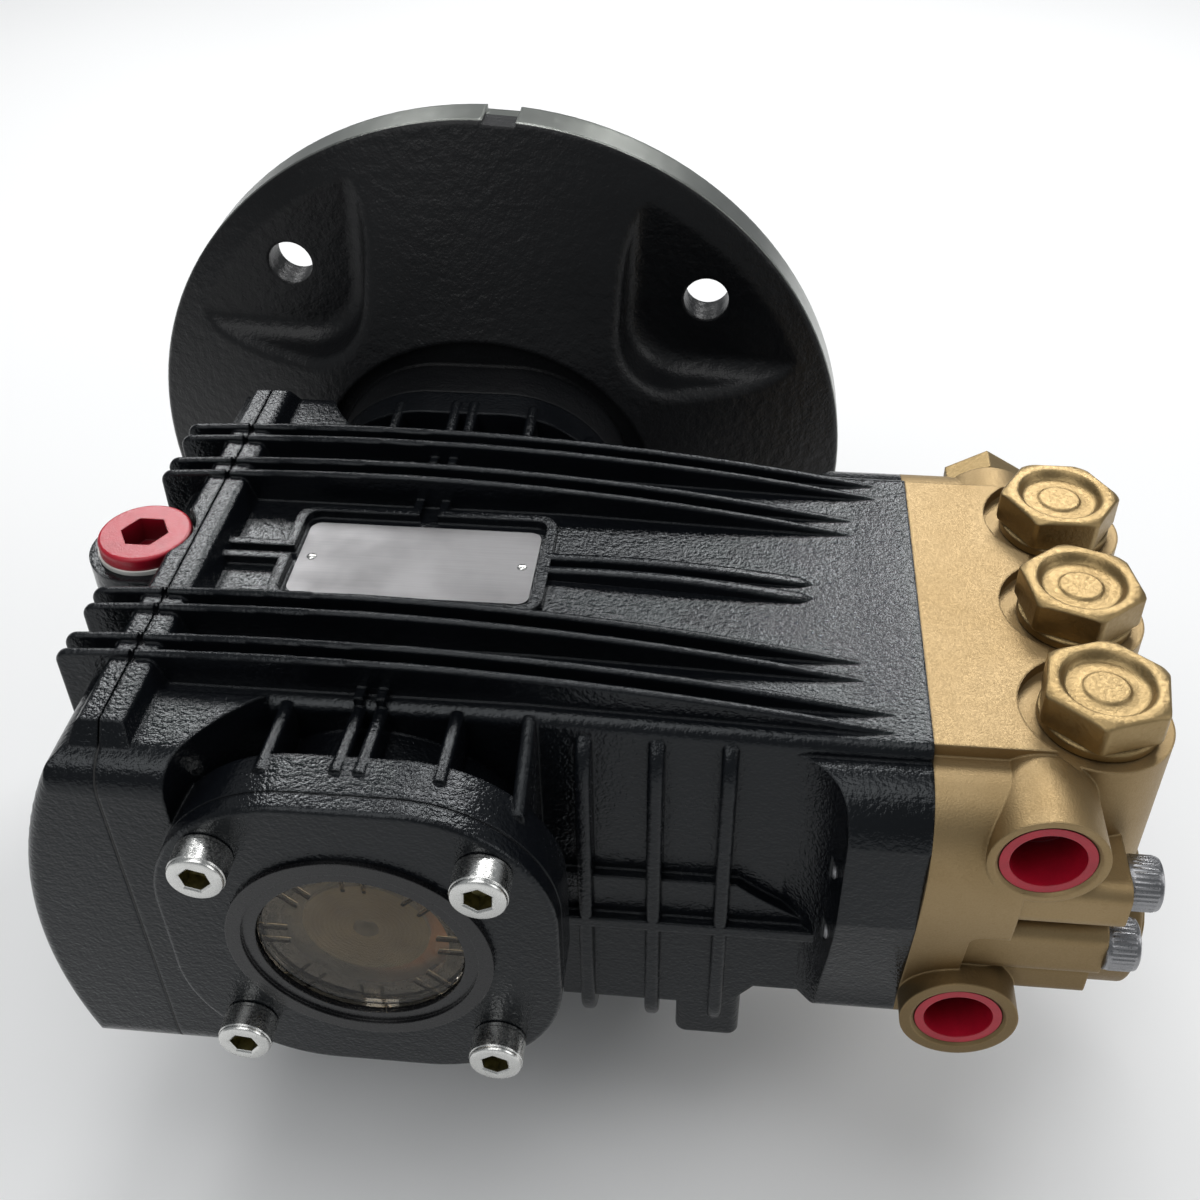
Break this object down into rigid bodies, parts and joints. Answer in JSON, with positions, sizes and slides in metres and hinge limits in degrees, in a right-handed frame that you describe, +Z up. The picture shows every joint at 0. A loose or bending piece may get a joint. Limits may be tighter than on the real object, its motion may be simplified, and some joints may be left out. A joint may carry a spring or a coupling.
{
  "type": "high-pressure pump",
  "caption": "Flange-mounted horizontal plunger pump with a finned black crankcase, a forged brass head, an oil sight glass and plugged ports.",
  "frame": {"origin": "centre of the motor flange's mounting face, on the crankshaft axis", "axes": "+Y along the crankshaft towards the motor, +X along the pump towards the brass head, +Z up to the finned top and the oil filler"},
  "size_m": [0.3013, 0.2274, 0.2286],
  "materials": {
    "case_paint": "black powder coat with a fine orange-peel grain",
    "flange_paint": "black coat over a rough casting, with a bare machined rim",
    "gasket": "thin black sealing sheet",
    "white_washer": "white sealing washer",
    "red_plastic": "moulded crimson plastic",
    "plate_metal": "brushed bare plate",
    "black_plastic": "smooth moulded black",
    "clear_plastic": "clear moulded plastic over oil",
    "bearing_steel": "ground steel",
    "shaft_steel": "machined steel under an oil film",
    "seal_rubber": "oil seal rubber",
    "head_brass": "bead-blasted forged brass",
    "cap_brass": "machined brass hexagon with a darker forged face",
    "zinc_screw": "bright zinc plating",
    "dark_screw": "knurled alloy steel"
  },
  "bodies": {
    "housing": {"crankcase": "case_paint", "rear_cover": "case_paint", "side_cover": "case_paint", "rear_gasket": "gasket", "side_cover_shim": "gasket", "plug_washer": "white_washer", "oil_fill_plug": "red_plastic", "inlet_plug": "red_plastic", "outlet_plug": "red_plastic", "nameplate": "plate_metal", "sight_glass_ring": "black_plastic", "sight_glass": "clear_plastic", "near_bearing": "bearing_steel", "far_bearing": "bearing_steel", "motor_flange": "flange_paint", "shaft_seal": "seal_rubber", "pump_head": "head_brass", "inlet_blank": "cap_brass", "outlet_blank": "cap_brass", "side_cover_screw_1": "zinc_screw", "side_cover_screw_2": "zinc_screw", "side_cover_screw_3": "zinc_screw", "side_cover_screw_4": "zinc_screw", "flange_screw_1": "dark_screw", "flange_screw_2": "dark_screw", "flange_screw_3": "dark_screw", "flange_screw_4": "dark_screw", "head_bolt_1": "dark_screw", "head_bolt_2": "dark_screw", "head_bolt_3": "dark_screw", "head_bolt_4": "dark_screw", "head_bolt_5": "dark_screw", "head_bolt_6": "dark_screw", "head_bolt_7": "dark_screw", "head_bolt_8": "dark_screw", "delivery_cap_1": "cap_brass", "delivery_cap_2": "cap_brass", "delivery_cap_3": "cap_brass", "suction_cap_1": "cap_brass", "suction_cap_2": "cap_brass", "suction_cap_3": "cap_brass"},
    "crank": {"crankshaft": "shaft_steel"}
  },
  "joints": [
    {"name": "crank_spin", "type": "hinge", "parent": "housing", "child": "crank", "pos_m": [0, -0.1329, 0], "axis": [0, 1, 0], "continuous": true}
  ]
}
